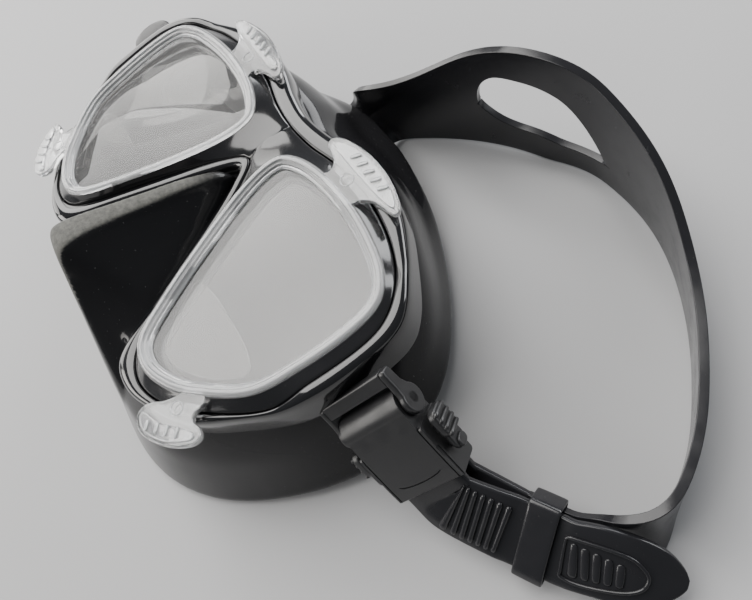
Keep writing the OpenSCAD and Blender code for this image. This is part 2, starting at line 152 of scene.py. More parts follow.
def feet(line, q):
    """The nearest place to q on each stretch of the line, and its share of that stretch."""
    start, step = line[:-1], np.diff(line, axis=0)
    t = np.clip(((q - start) * step).sum(1) / (step ** 2).sum(1), 0, 1)
    return start + step * t[:, None], t


ORDER_WEIGHT = 45.0     # mm; how strongly a nearest place is held to its turn along the line


def nearest_on(line, points):
    """For each point, how far along the line (0 to 1) its nearest place is, near its own turn."""
    run = run_along(line)
    run /= run[-1]
    out = []
    for i, q in enumerate(points):
        near, t = feet(line, q)
        place = run[:-1] + (run[1:] - run[:-1]) * t
        turn = ORDER_WEIGHT * (place - i / (len(points) - 1))
        out.append(place[int(np.argmin(((near - q) ** 2).sum(1) + turn ** 2))])
    return np.array(out), run


def matched(inner, outer, passes=12):
    """Points on the open line outer that go with those of inner: nearest places, kept in order and evened."""
    at, run = nearest_on(outer, inner)
    at[0], at[-1] = 0.0, 1.0
    at = 0.5 * (np.maximum.accumulate(at) + np.minimum.accumulate(at[::-1])[::-1])
    return at_runs(outer, run, drawn_even(at, passes))


def distance_to(line, points):
    """Shortest distance from each point to the line."""
    return np.array([math.sqrt(((feet(line, q)[0] - q) ** 2).sum(1).min()) for q in points])


# ---------------------------------------------------------------- meshes

def shade_smooth(mesh):
    mesh.polygons.foreach_set("use_smooth", [True] * len(mesh.polygons))


def linked(name, data):
    """A new object in the scene."""
    obj = bpy.data.objects.new(name, data)
    bpy.context.scene.collection.objects.link(obj)
    return obj


def new_object(name, verts, faces, material):
    mesh = bpy.data.meshes.new(name)
    mesh.from_pydata([tuple(v) for v in verts], [], faces)
    mesh.validate()
    bm = bmesh.new()
    bm.from_mesh(mesh)
    bmesh.ops.recalc_face_normals(bm, faces=bm.faces)
    bm.to_mesh(mesh)
    bm.free()
    shade_smooth(mesh)
    mesh.materials.append(material)
    return linked(name, mesh)


def loft(name, rows, material, ring=False, caps=False):
    """Quads through closed rows of points. ring joins the last row to the first; caps closes both ends."""
    rows = np.array(rows, float) * MM
    count, columns = rows.shape[:2]
    faces = []
    for r in range(count if ring else count - 1):
        here, after = r * columns, (r + 1) % count * columns
        for c in range(columns):
            c2 = (c + 1) % columns
            faces.append((here + c, after + c, after + c2, here + c2))
    if caps:
        faces.append(tuple(range(columns)))
        faces.append(tuple(range(count * columns - 1, (count - 1) * columns - 1, -1)))
    return new_object(name, rows.reshape(-1, 3), faces, material)


def modify(obj, kind, **values):
    """One modifier, added and applied."""
    modifier = obj.modifiers.new(kind.title(), kind)
    for key, value in values.items():
        setattr(modifier, key, value)
    graph = bpy.context.evaluated_depsgraph_get()
    mesh = bpy.data.meshes.new_from_object(obj.evaluated_get(graph))
    old = obj.data
    obj.modifiers.clear()
    obj.data = mesh
    bpy.data.meshes.remove(old)


def refine(obj):
    modify(obj, "SUBSURF", levels=1, render_levels=1)
    shade_smooth(obj.data)
    return obj


def joined(name, objs):
    """One object from several; each keeps its material."""
    unique = list(dict.fromkeys(m for o in objs for m in o.data.materials))
    bm = bmesh.new()
    for o in objs:
        first = len(bm.faces)
        bm.from_mesh(o.data)
        bm.faces.ensure_lookup_table()
        for f in bm.faces[first:]:
            f.material_index = unique.index(o.data.materials[f.material_index])
        bpy.data.objects.remove(o)
    mesh = bpy.data.meshes.new(name)
    bm.to_mesh(mesh)
    bm.free()
    for m in unique:
        mesh.materials.append(m)
    return linked(name, mesh)


def weld(obj, distance):
    bm = bmesh.new()
    bm.from_mesh(obj.data)
    bmesh.ops.remove_doubles(bm, verts=bm.verts, dist=distance)
    bmesh.ops.recalc_face_normals(bm, faces=bm.faces)
    bm.to_mesh(obj.data)
    bm.free()


def cut(obj, other, operation="DIFFERENCE"):
    """Boolean with a scratch object, which is then removed."""
    modify(obj, "BOOLEAN", object=other, operation=operation, solver="MANIFOLD")
    bpy.data.objects.remove(other)


def ring_at(flat, z):
    return np.column_stack([flat, np.broadcast_to(z, len(flat))])


def softened(obj, width, segments, angle=40):
    """Edges sharper than the angle are rounded; flat faces keep a flat look."""
    modify(obj, "BEVEL", width=width * MM, segments=segments, limit_method="ANGLE",
           angle_limit=math.radians(angle))
    shade_smooth(obj.data)
    modify(obj, "WEIGHTED_NORMAL", keep_sharp=True)
    return obj


def mirror_x(obj):
    """The mirrored copy on the wearer's right, faces turned the right way out."""
    mesh = obj.data
    mesh.transform(Matrix.Diagonal((-1, 1, 1, 1)))
    mesh.flip_normals()
    return obj


def settle(obj, body, slot, *nodes):
    """The piece rides on a body and stands for CAD nodes; slot is not used."""
    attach(obj, body)
    if nodes:
        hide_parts(*nodes)
    return obj


# ---------------------------------------------------------------- materials

def shader_of(mat):
    return mat.node_tree.nodes["Principled BSDF"]


def new_material(name, colour, roughness, **sockets):
    """Principled material; sockets are set on the shader itself, with _ for a space."""
    mat = bpy.data.materials.new(name)
    mat.use_nodes = True
    shader = shader_of(mat)
    shader.inputs["Base Color"].default_value = (*colour, 1)
    shader.inputs["Roughness"].default_value = roughness
    for key, value in sockets.items():
        shader.inputs[key.replace("_", " ")].default_value = value
    return mat


def add_node(mat, kind, **values):
    node = mat.node_tree.nodes.new(kind)
    for key, value in values.items():
        if key in node.inputs:
            node.inputs[key].default_value = value
        else:
            setattr(node, key, value)
    return node


def link(mat, a, output, b, socket):
    mat.node_tree.links.new(a.outputs[output], b.inputs[socket])


def noise(mat, scale, detail=3.0, rough=0.6):
    place = add_node(mat, "ShaderNodeTexCoord")
    tex = add_node(mat, "ShaderNodeTexNoise", Scale=scale, Detail=detail, Roughness=rough)
    link(mat, place, "Object", tex, "Vector")
    return tex


def ramp(mat, source, low, high, a, b):
    """A colour ramp from a at low to b at high, greys or colours, fed by a texture."""
    node = add_node(mat, "ShaderNodeValToRGB")
    node.color_ramp.elements[0].position = low
    node.color_ramp.elements[1].position = high
    for element, value in zip(node.color_ramp.elements, (a, b)):
        element.color = (value, value, value, 1) if isinstance(value, (int, float)) else (*value, 1)
    link(mat, source, "Fac", node, "Fac")
    return node


def roughness_from(mat, scale, low, high):
    spread = ramp(mat, noise(mat, scale, 5.0), 0.35, 0.7, low, high)
    link(mat, spread, "Color", shader_of(mat), "Roughness")


def bump_from(mat, scale, strength, distance=0.0002):
    bump = add_node(mat, "ShaderNodeBump", Strength=strength, Distance=distance)
    link(mat, noise(mat, scale), "Fac", bump, "Height")
    link(mat, bump, "Normal", shader_of(mat), "Normal")


def specks(mat, clean, dust, scale, amount=0.74):
    """Dust: the noise's peaks, above amount, take the dust's colour."""
    return ramp(mat, noise(mat, scale, 2.0, 0.5), amount, amount + 0.04, clean, dust)


def finish(name, colour, roughness, patches, ripple=None, dust=None, **sockets):
    """Gloss that varies in patches, with dust (clean colour, dust, scale) and a fine ripple where given."""
    mat = new_material(name, colour, roughness, **sockets)
    roughness_from(mat, *patches)
    if dust:
        link(mat, specks(mat, *dust), "Color", shader_of(mat), "Base Color")
    if ripple:
        bump_from(mat, *ripple)
    return mat


def silicone():
    """Glossy moulded silicone; the attribute crest marks the matte band over the nose."""
    mat = new_material("silicone", (0.01, 0.01, 0.011), 0.25, IOR=1.4, Specular_IOR_Level=0.32)
    shader = shader_of(mat)
    crest = add_node(mat, "ShaderNodeAttribute", attribute_name="crest")
    mottled = ramp(mat, noise(mat, 700, 6.0, 0.7), 0.35, 0.75, (0.055, 0.055, 0.05), (0.13, 0.128, 0.115))
    dusted = specks(mat, (0.012, 0.012, 0.013), (0.08, 0.08, 0.08), 1200, 0.72)
    colour = add_node(mat, "ShaderNodeMix", data_type="RGBA")
    link(mat, crest, "Fac", colour, "Factor")
    # By number: the mix node's colour sockets A, B and Result share their names with its other types'
    link(mat, dusted, "Color", colour, 6)
    link(mat, mottled, "Color", colour, 7)
    link(mat, colour, 2, shader, "Base Color")
    rough = add_node(mat, "ShaderNodeMapRange")
    rough.inputs["To Min"].default_value = 0.13
    rough.inputs["To Max"].default_value = 0.62
    link(mat, crest, "Fac", rough, "Value")
    link(mat, rough, "Result", shader, "Roughness")
    bump_from(mat, 260, 0.05)
    return mat


GLOSS = finish("gloss_black", (0.008, 0.008, 0.009), 0.1, (60, 0.07, 0.16), (90, 0.03),
               ((0.008, 0.008, 0.009), (0.06, 0.06, 0.06), 900), Coat_Weight=0.4, Coat_Roughness=0.04)
INNER = finish("inner_black", (0.01, 0.01, 0.011), 0.14, (80, 0.1, 0.22), (120, 0.03),
               ((0.01, 0.01, 0.011), (0.07, 0.07, 0.07), 1100), Coat_Weight=0.3, Coat_Roughness=0.06)
SILICONE = silicone()
STRAP = finish("strap_silicone", (0.01, 0.01, 0.012), 0.24, (150, 0.15, 0.28), (400, 0.06),
               ((0.014, 0.014, 0.016), (0.06, 0.06, 0.06), 1500), Specular_IOR_Level=0.42)
SATIN = finish("satin_black", (0.018, 0.018, 0.019), 0.35, (200, 0.3, 0.42), (1500, 0.12, 0.0001))
CLEAR = finish("clear_plastic", (0.93, 0.94, 0.95), 0.06, (70, 0.03, 0.12), (160, 0.05),
               IOR=1.58, Transmission_Weight=0.72, Coat_Weight=0.3)
LENS = finish("lens_glass", (0.84, 0.835, 0.83), 0.02, (12, 0.015, 0.05), IOR=1.46, Transmission_Weight=0.93)
SEGMENT_GLASS = finish("segment_glass", (0.95, 0.93, 0.9), 0.03, (40, 0.03, 0.09), IOR=1.3,
                       Transmission_Weight=0.98)
STEEL = finish("steel", (0.5, 0.5, 0.52), 0.3, (300, 0.22, 0.4), (600, 0.05), Metallic=1.0)
TAB = finish("tab_plastic", (0.95, 0.955, 0.96), 0.05, (110, 0.03, 0.1), (220, 0.08),
             IOR=1.58, Transmission_Weight=0.93, Coat_Weight=0.4, Coat_Roughness=0.05)


# ---------------------------------------------------------------- frame

# Across the cover, from the seam (0) to its outer outline (1), and height in mm
COVER_PROFILE = [(0, 38.2), (0, 41), (0, 43.3), (0.02, 43.85), (0.07, 44.12), (0.2, 44.35), (0.38, 44.42),
                 (0.56, 44.3), (0.72, 43.98), (0.84, 43.5), (0.92, 42.8), (0.97, 41.6), (0.992, 40), (1, 38),
                 (1, 35), (1, 33.6), (0.985, 33.1), (0.94, 33.0), (0.86, 33.1), (0.8, 33.6), (0.78, 35.5),
                 (0.72, 37.6), (0.6, 38.2), (0.3, 38.2)]
SEAM_HALF_GAP = 0.15
TEMPLE_RISE = 1.9
TEMPLE_X, TEMPLE_Y = (64, 9), (-12, 12)      # where the rise starts and how far it takes to be full, in mm
WALL_FOOT_Z, WALL_SPAN = 36, 6               # the cover's wall stretches over these heights as its top rises


def temple_lift(flat):
    """How much higher the frame stands beside the temples, in mm."""
    t = np.clip((np.abs(flat[:, 0]) - TEMPLE_X[0]) / TEMPLE_X[1], 0, 1)
    t = t * np.clip((flat[:, 1] - TEMPLE_Y[0]) / TEMPLE_Y[1], 0, 1)
    return TEMPLE_RISE * t * t * (3 - 2 * t)


def frame_cover():
    seam = resample(inward(smooth_loop(mirrored(FRAME_HALF)), -SEAM_HALF_GAP), 360)
    outer = matched(shut(seam), shut(smooth_loop(mirrored(COVER_HALF))))[:-1]
    rows = []
    for t, z in COVER_PROFILE:
        flat = mix(seam, outer, t)
        rows.append(ring_at(flat, z + temple_lift(flat) * min(1, max(0, (z - WALL_FOOT_Z) / WALL_SPAN))))
    obj = refine(loft("frame_cover_shell", rows, GLOSS, ring=True))
    return settle(obj, MASK, "frame_cover", "frame_cover")


FRAME_STEPS = (0, 0.04, 0.1, 0.18, 0.27, 0.36, 0.45, 0.54, 0.63, 0.72, 0.8, 0.87, 0.925, 0.965, 0.985, 1)
FRAME_EDGE_Z = 43.9
FRAME_WINDOW_Z = 47.0
NEAR = 0.02                                  # mm; nothing is taken to be closer than this
SEAM_ROUND, SEAM_DROP = 0.45, 0.5            # width and depth of the rounding beside the seam


def frame_height(flat, windows, seam):
    """Slopes from the windows down to the seam; inverse distances keep it smooth over the bridge."""
    near = [1 / np.maximum(distance_to(w, flat), NEAR) for w in windows]
    out = distance_to(seam, flat)
    share = sum(near) / (sum(near) + 1 / np.maximum(out, NEAR))
    edge = FRAME_EDGE_Z + temple_lift(flat)
    z = edge + (FRAME_WINDOW_Z - edge) * share
    return z - SEAM_DROP * np.maximum(0, 1 - out / SEAM_ROUND) ** 2


def main_frame():
    window = resample(inward(smooth_loop(RIM), -SEAM_HALF_GAP), 280)
    seam = smooth_loop(mirrored(FRAME_HALF))
    half = np.array([q for q in seam[:len(seam) // 2 + 2] if q[0] >= -1e-6])
    half[0, 0] = half[-1, 0] = 0
    middle = (0, 0.5 * (half[0, 1] + half[-1, 1]))
    outer = matched(shut(window), np.vstack([[middle], half, [middle]]), 8)[:-1]
    for corner in (half[0], half[-1]):
        outer[np.argmin(np.linalg.norm(outer - corner, axis=1))] = corner
    outer[np.abs(outer[:, 0]) < NEAR, 0] = 0
    windows = [shut(window), shut(window * (-1, 1))]
    rows = []
    for t in FRAME_STEPS:
        flat = mix(window, outer, t)
        rows.append(ring_at(flat, frame_height(flat, windows, shut(seam))))
    halves = [loft("half", rows, INNER), mirror_x(loft("half", rows, INNER))]
    obj = joined("inner_frame", halves)
    weld(obj, 0.05 * MM)
    modify(obj, "SOLIDIFY", thickness=3.2 * MM, offset=-1)
    shade_smooth(obj.data)
    return settle(obj, MASK, "inner_frame", "main_frame")


# ---------------------------------------------------------------- windows

# Distance inside the rim and height, round a retainer's section, in mm
RETAINER_PROFILE = [(2.0, 42.7), (0.25, 42.7), (0, 43), (0, 45), (0, 46.9), (0.12, 47.5), (0.5, 47.9),
                    (1.0, 48.0), (1.6, 48.0), (1.85, 47.95), (1.95, 47.6), (2.1, 47.4), (2.7, 47.3),
                    (2.9, 47.2), (3.0, 46.7), (3.2, 46.4), (3.7, 46.2), (3.95, 46.0), (4.0, 45.6),
                    (2.4, 45.56), (2.0, 45.5)]
TOP_TAB = [(27.4, 34.6), (27.2, 37.6), (25.6, 39.8), (22.4, 41), (19.4, 41.6), (17.9, 43), (18.6, 45),
           (22, 47), (27.5, 48.5), (33.5, 49.3), (40.5, 49.2), (47, 48), (51.8, 46.3), (53.6, 44.6),
           (52.6, 43.1), (49, 42.4), (45.6, 41.4), (43, 39.2), (41.8, 36), (40, 34.4)]
LOW_TAB = [(56.2, -27.5), (56.8, -31), (55.6, -35), (53.6, -38.4), (53, -41.4), (54.6, -43.9),
           (58, -44.8), (62.4, -43.4), (66.8, -40.2), (70.2, -36.2), (72, -32.4), (71.4, -30), (69, -29.4),
           (66.4, -30.2), (64.6, -28.6), (64, -25), (60, -24)]
# The thicker end of each tab that the fingers press
TOP_PAD = [(20.6, 44.3), (23.5, 46), (28, 47.4), (34, 48.2), (40.5, 48.1), (46.5, 47), (50.4, 45.6),
           (51.6, 44.4), (48.6, 43.5), (42, 43), (35, 42.8), (27, 42.7), (22.4, 42.8)]
LOW_PAD = [(54.6, -41.4), (55.2, -42.9), (58, -43.6), (61.9, -42.4), (66.1, -39.3), (69.2, -35.6),
           (70.8, -32.2), (69.6, -31.2), (67.4, -32.4), (64.6, -35.6), (60.6, -38.6), (56.4, -40.4)]
SEGMENT = [(26.6, -14.2), (29, -11.6), (36, -10.1), (47, -9.6), (56, -9.8), (61.5, -11.3), (62.4, -15),
           (57.5, -21.8), (51.5, -26.8), (45.5, -30), (40.5, -30.4), (36.5, -27.6), (31.5, -21.6)]
# Heights, low and high, in mm
TAB_Z, PAD_Z, GRIP_Z = (45.35, 47.3), (47.0, 47.85), (47.6, 48.25)
LENS_Z, SEGMENT_Z, GROUND_Z = (42.55, 45.48), (41.65, 42.49), (41.75, 42.47)
MARK_Z, MARK_R = 47.35, 0.16
LENS_INSET = 2.15                            # the lens stands this far inside the rim
GROUND_EDGE = 0.28                           # width of the segment's ground edge


def grip(a, b, width):
    """A bar with round ends and a crowned top between two points of the plan."""
    a, b = np.array(a, float), np.array(b, float)
    length = np.linalg.norm(b - a)
    along = (b - a) / length
    side = np.array([-along[1], along[0]])
    angles = np.linspace(-math.pi / 2, math.pi / 2, 9)
    cap = [0.5 * width * (math.cos(t) * along + math.sin(t) * side) for t in angles]
    loop = np.array([b + q for q in cap] + [a - q for q in cap])
    near = a + np.clip((loop - a) @ along, 0, length)[:, None] * along
    low, high = GRIP_Z
    levels = ((0, low), (0, high - 0.3 * width), (0.12, high - 0.08 * width), (0.45, high))
    rows = [ring_at(loop + shrink * (near - loop), z) for shrink, z in levels]
    return loft("grip", rows, CLEAR, caps=True)


def plan_slab(outline, heights, material, edge, samples=6):
    """A slab from a smooth outline with rounded edges."""
    loop = smooth_loop(outline, samples)
    return softened(loft("slab", [ring_at(loop, z) for z in heights], material, caps=True), edge, 4)


def ring_mark(centre, radius):
    """A fine round moulding mark."""
    rows = []
    for k in range(8):
        a = 2 * math.pi * k / 8
        r, height = radius + MARK_R * math.cos(a), MARK_Z + MARK_R * math.sin(a)
        rows.append([(centre[0] + r * math.cos(t), centre[1] + r * math.sin(t), height)
                     for t in np.linspace(0, 2 * math.pi, 40, endpoint=False)])
    return loft("mark", rows, CLEAR, ring=True)


def on_side(obj, sign):
    """Drawn on the wearer's left; mirrored for the right."""
    return obj if sign > 0 else mirror_x(obj)


def retainer(side, sign):
    rim = resample(smooth_loop(RIM), 300)
    parts = [loft("ring", [ring_at(inward(rim, d), z) for d, z in RETAINER_PROFILE], CLEAR, ring=True)]
    for outline, pad in ((TOP_TAB, TOP_PAD), (LOW_TAB, LOW_PAD)):
        parts.append(plan_slab(outline, TAB_Z, TAB, 0.5))
        parts.append(plan_slab(pad, PAD_Z, TAB, 0.35))
    parts += [ring_mark((34, 39.6), 2.0), ring_mark((60.2, -32.6), 1.9)]
    for k in range(5):
        x = 29 + 3.7 * k
        parts.append(grip((x, 44.6), (x + 1.2, 46.7), 1.2))
    for k in range(4):
        x, y = 58.4 + 7.4 * (k / 3), -41.0 + 6.6 * (k / 3)
        parts.append(grip((x, y), (x + 1.5, y - 1.4), 1.1))
    obj = on_side(joined(f"{side}_retainer", parts), sign)
    return settle(obj, MASK, "clear_plastic", f"{side}_lens_retainer")


def lens(side, sign):
    rim = resample(inward(smooth_loop(RIM), LENS_INSET), 240)
    obj = loft(f"{side}_glass", [ring_at(rim, z) for z in LENS_Z], LENS, caps=True)
    return settle(on_side(softened(obj, 0.3, 2), sign), MASK, "glass", f"{side}_lens")


def reading_segment(side, sign):
    loop = smooth_loop(SEGMENT, 8)
    within = inward(loop, GROUND_EDGE)
    low, high = GROUND_Z
    edge = [ring_at(loop, low), ring_at(loop, high), ring_at(within, high), ring_at(within, low)]
    parts = [plan_slab(SEGMENT, SEGMENT_Z, SEGMENT_GLASS, 0.2, 8),
             loft("ground_edge", edge, CLEAR, ring=True)]
    obj = on_side(joined(f"{side}_segment", parts), sign)
    return settle(obj, MASK, "segment_glass", f"{side}_reading_segment")


# ---------------------------------------------------------------- skirt

SKIRT_MIDDLE_Y = -4                          # the skirt's rings shrink towards this place
NOSE_WALL = 2.0


def skirt_ring(half):
    return smooth_loop(mirrored(half))


def sized(loop, scale):
    return np.column_stack([loop[:, 0] * scale, (loop[:, 1] - SKIRT_MIDDLE_Y) * scale + SKIRT_MIDDLE_Y])


def lip_heights():
    """The underside's height round the whole skirt, 0 where it lies on the ground."""
    full = mirrored([(x, z) for (x, _), z in zip(EDGE_HALF, LIP_Z)])
    n = len(full)
    heights = np.array([mix(full[i][1], full[(i + 1) % n][1], t)
                        for i in range(n) for t in np.arange(OUTLINE_SAMPLES) / OUTLINE_SAMPLES])
    for _ in range(60):
        heights = 0.25 * np.roll(heights, 1) + 0.5 * heights + 0.25 * np.roll(heights, -1)
    return np.where(heights < 0.4, 0, heights)


def evened_rows(rows, samples=6):
    """Rows of a loft with smooth rows added between them."""
    rows = np.array(rows, float)
    count, columns = rows.shape[:2]
    return smooth_path(rows.reshape(count, -1), samples).reshape(-1, columns, 3)


def skirt_rings():
    """Outlines of the plate, the wall's middle and the sealing lip, and the lip's height."""
    return skirt_ring(PLATE_HALF), skirt_ring(WALL_HALF), skirt_ring(EDGE_HALF), lip_heights()


def skirt_shell():
    plate, wall, edge, low = skirt_rings()
    brow = 0.5 + 0.5 * np.tanh((plate[:, 1] - 30) / 5)      # the shelf stands higher at the forehead
    wall_z, foot = 22.5, low + 3.2
    side = [ring_at(plate, PLATE_Z - 3.6 + 1.6 * brow), ring_at(mix(plate, wall, 0.3), 32.6 + 4.6 * brow),
            ring_at(mix(plate, wall, 0.68), 27.6 + 6.6 * brow), ring_at(wall, wall_z + 5 * brow),
            ring_at(mix(wall, edge, 0.38), mix(foot, wall_z, 0.64)),
            ring_at(mix(wall, edge, 0.74), mix(foot, wall_z, 0.28)), ring_at(edge, low + 3.4)]
    lip = [ring_at(sized(edge, size), low + z) for size, z in ((1, 3.4), (1, 1.6), (0.993, 0.5), (0.98, 0))]
    under = [ring_at(sized(edge, size), low + z)
             for size, z in ((0.95, 0), (0.9, 0.3), (0.84, 0.9), (0.5, 0.9))]
    rows = [ring_at(sized(plate, 0.5), PLATE_Z - 0.1), ring_at(sized(plate, 0.97), PLATE_Z - 0.1),
            ring_at(plate, PLATE_Z - 0.8), *evened_rows(side), *evened_rows(lip, 3)[1:], *under]
    return loft("skirt_body", rows, SILICONE, caps=True)


def skirt_hollow():
    plate, wall, edge, low = skirt_rings()
    brow = np.clip(low / 12, 0, 1)[:, None]                 # the wall stays thick where the lip rises
    side = [ring_at(sized(plate, 0.93), PLATE_Z - 5.2), ring_at(sized(mix(plate, wall, 0.6), 0.93), 27),
            ring_at(sized(wall, 0.935), 21.5),
            ring_at(mix(sized(edge, 0.95), sized(edge, 0.9), brow), low + 5)]
    rows = [ring_at(sized(plate, 0.5), PLATE_Z - 2.6), ring_at(sized(plate, 0.92), PLATE_Z - 2.6),
            *evened_rows(side), ring_at(mix(sized(edge, 0.9), sized(edge, 0.87), brow), low + 3),
            ring_at(sized(edge, 0.842), low + 2.3), ring_at(sized(edge, 0.838), low - 0.5),
            ring_at(sized(edge, 0.5), low - 3)]
    return loft("skirt_hollow", rows, SILICONE, caps=True)


# The nose pocket's crest and front in the middle plane: y, z, and half widths of the band and at the frame
NOSE_STATIONS = [(13.5, 41.5, 1.0, 20), (11.5, 45.4, 1.6, 30), (8, 48.4, 2.0, 31), (2.5, 51.4, 2.4, 33),
                 (-3, 53.8, 2.7, 34), (-9, 56.2, 3.0, 35), (-15, 58.6, 3.3, 36), (-20, 60.6, 3.6, 36),
                 (-25, 62.6, 4.0, 36), (-30, 64.3, 4.5, 36), (-34, 65.2, 5.0, 36.5), (-37.6, 64.8, 5.6, 38),
                 (-40.4, 61.6, 6.4, 42), (-43.4, 56, 7.8, 50), (-47.2, 48.6, 11.5, 60),
                 (-51.4, 40.4, 16.5, 64), (-55.8, 31.8, 21.5, 66), (-60.5, 22.5, 26, 67), (-65, 13, 29, 68)]
NOSE_HEART = (-18, 22)
# Half the band's section: across as a share of its half width, and down from the crest in mm
BAND_SECTION = [(0, 0), (0.55, -0.05), (0.9, -0.35), (1.05, -1.0), (1.12, -2.2)]


def nose_solid(shrink):
    """Sections fan out from a line across the mask under the bridge; shrink takes the wall off every side."""
    heart = np.array(NOSE_HEART, float)
    shoulder, drop = BAND_SECTION[-1]
    rows = []
    for y, z, band, base in smooth_path(NOSE_STATIONS, 4):
        crest = np.array([y, z]) - heart
        reach = np.linalg.norm(crest)
        out = crest / reach
        reach -= shrink
        base_w, band_w = max(base - shrink, 0.6), max(band - 0.7 * shrink, 0.4)
        section = [(band_w * u, reach + v) for u, v in BAND_SECTION]
        for t in (0.12, 0.24, 0.38, 0.54, 0.72, 0.88, 1.0):
            lean = t * t * 0.35 + t * 0.65
            across = band_w * shoulder + (base_w - band_w * shoulder) * lean
            section.append((across, reach + drop - t * (reach - 4.2)))
        full = [(-x, r) for x, r in reversed(section[1:])] + section
        rows.append([(x, heart[0] + out[0] * r, heart[1] + out[1] * r) for x, r in full])
    return loft("nose", rows, SILICONE, caps=True)


def window_plug():
    rim = resample(inward(smooth_loop(RIM), 5), 160)
    return loft("plug", [ring_at(rim, PLATE_Z - 6), ring_at(rim, PLATE_Z + 3)], SILICONE, caps=True)


CREST_DEPTH, CREST_FADE = 4.2, 1.5           # how far below the crest the band ends, and over what it fades
CREST_FOOT, CREST_RISE = 46, 6               # height where it starts, and how far above it is full
BAND_SHARE, BAND_FADE = 0.98, 0.45           # share of the band's half width, and the edge's fade


def mark_crest(obj):
    """The matte band: the attribute crest is 1 on the nose's ridge and fades over its edges."""
    mesh = obj.data
    co = np.empty(len(mesh.vertices) * 3, np.float32)
    mesh.vertices.foreach_get("co", co)
    co = co.reshape(-1, 3) / MM
    line = smooth_path(NOSE_STATIONS, 4)
    value = np.zeros(len(co), np.float32)
    for k in np.nonzero((np.abs(co[:, 0]) < 14) & (co[:, 2] > 38))[0]:
        gap = np.linalg.norm(line[:, :2] - co[k, 1:], axis=1)
        i = int(np.argmin(gap))
        beside = np.clip((line[i, 2] * BAND_SHARE - abs(co[k, 0])) / BAND_FADE, 0, 1)
        below = np.clip((CREST_DEPTH - gap[i]) / CREST_FADE, 0, 1)
        value[k] = beside * below * np.clip((co[k, 2] - CREST_FOOT) / CREST_RISE, 0, 1)
    layer = mesh.attributes.new("crest", "FLOAT", "POINT")
    layer.data.foreach_set("value", value)


def skirt():
    obj = skirt_shell()
    cut(obj, nose_solid(0), "UNION")
    cut(obj, skirt_hollow())
    cut(obj, nose_solid(NOSE_WALL))
    for _, sign in SIDES:
        cut(obj, on_side(window_plug(), sign))
    modify(obj, "REMESH", mode="VOXEL", voxel_size=0.0008, use_smooth_shade=True)
    modify(obj, "SMOOTH", factor=0.5, iterations=8)
    obj.data.materials.clear()
    obj.data.materials.append(SILICONE)
    shade_smooth(obj.data)
    mark_crest(obj)
    obj.name = "skirt_moulding"
    return settle(obj, MASK, "silicone", "skirt")


# ---------------------------------------------------------------- strap

STRAP_T = 2.4
STRAP_W = 19.5
HALF_W = STRAP_W / 2
STRAP_CORNER = 0.7
HINGE = np.array([90.0, 9.0, 32.0])
TURN = (35, 40, 6)               # roll, pitch and yaw of the left buckle
RIGHT_ROLL = 5                   # the right hinge lies flatter
BAR_X = 10                       # the strap turns round a bar here
MOUTH_X = 25.3                   # the free strap starts here in the buckle's own frame
LAYER = 2.8                      # middle of a layer from the buckle's middle plane
HELD = 1.35                      # the same where two layers lie together
KEEPER_MID = np.array([133.6, 23.5, 10.6])
KEEPER_YAW = 31
ROLL_HELD = 37                   # roll of the strap's width direction in the left keeper
RIGHT_KEEPER_MID = np.array([-128, 13.5, 8.4])
FOLD_X, FOLD_R = -139, 2.7
GROUND_MID = 1.6                 # middle of the layer that lies on the ground
# The free run: middle point, roll of the width direction, height
STRAP_RUN = [((139.6, 28, 9.5), 37, 19.5), ((143.8, 33, 8.8), 36, 19.5), ((146, 39, 8.8), 50, 19.5),
             ((146.4, 45.3, 9.6), 70, 19.5), ((145.5, 51.5, 10.4), 88, 19.5), ((143, 57.5, 10.6), 90, 20),
             ((139.5, 63.5, 10.6), 90, 20), ((134.5, 70.5, 10.6), 90, 20.5), ((127, 78, 10.9), 90, 21),
             ((118, 86, 11.2), 90, 21.5), ((109, 92.5, 11.6), 90, 22.5), ((98, 99, 12.6), 90, 24.5),
             ((86, 103.7, 15.6), 90, 30.5), ((74, 106, 18.9), 90, 37), ((61, 106.4, 21.4), 90, 41.9),
             ((52, 105.2, 22.8), 90, 45), ((41, 100.5, 25.1), 90, 49.5), ((29, 95, 23.7), 90, 46.5),
             ((16, 87.8, 19.4), 90, 38), ((4, 78.5, 15.9), 90, 31), ((-4, 71, 14.4), 90, 28),
             ((-11, 64.8, 13), 94, 25.5), ((-14.5, 62.3, 9.3), 124, 21), ((-18.5, 58, 4.9), 152, 20),
             ((-24.5, 51.5, 2.4), 174, 19.5), ((-32, 44.6, 1.6), 180, 19.5), ((-48, 33.5, 1.6), 180, 19.5),
             ((-68, 25, 1.6), 180, 19.5), ((-92, 18, 1.6), 180, 19.5), ((-112, 14.4, 1.6), 180, 19.5),
             ((-130, 13.5, 1.6), 180, 19.5), ((-137.5, 13.5, 1.6), 180, 19.5)]
# The split's edges above the ground: (place along X of the run, lower edge, upper edge)
SPLIT = [(60, 11.4, 11.6), (57, 10.6, 16.2), (52, 10.2, 24.6), (46.5, 10.6, 31.8), (41, 11.8, 35.2),
         (35, 12.8, 36.4), (29, 13.4, 36), (24.5, 15.4, 31.5), (20.5, 20.4, 24.6)]
# The tail's middle line past its keeper: place and lean
TAIL_RUN = [(140, 27.5, 10.9, 37), (145, 32.2, 11.3, 34), (149.8, 37, 11, 31), (153.4, 41.6, 9.8, 30),
            (155.6, 44.8, 8.9, 30), (156.5, 46.3, 8.65, 30), (156.8, 46.8, 8.6, 30)]
TIP_V, TIP_HIGH, TIP_LOW = -1.6, 22.0, 15.0      # where the tip lies across the strap, and both edges' tapers
TAIL_EDGE = 9.5


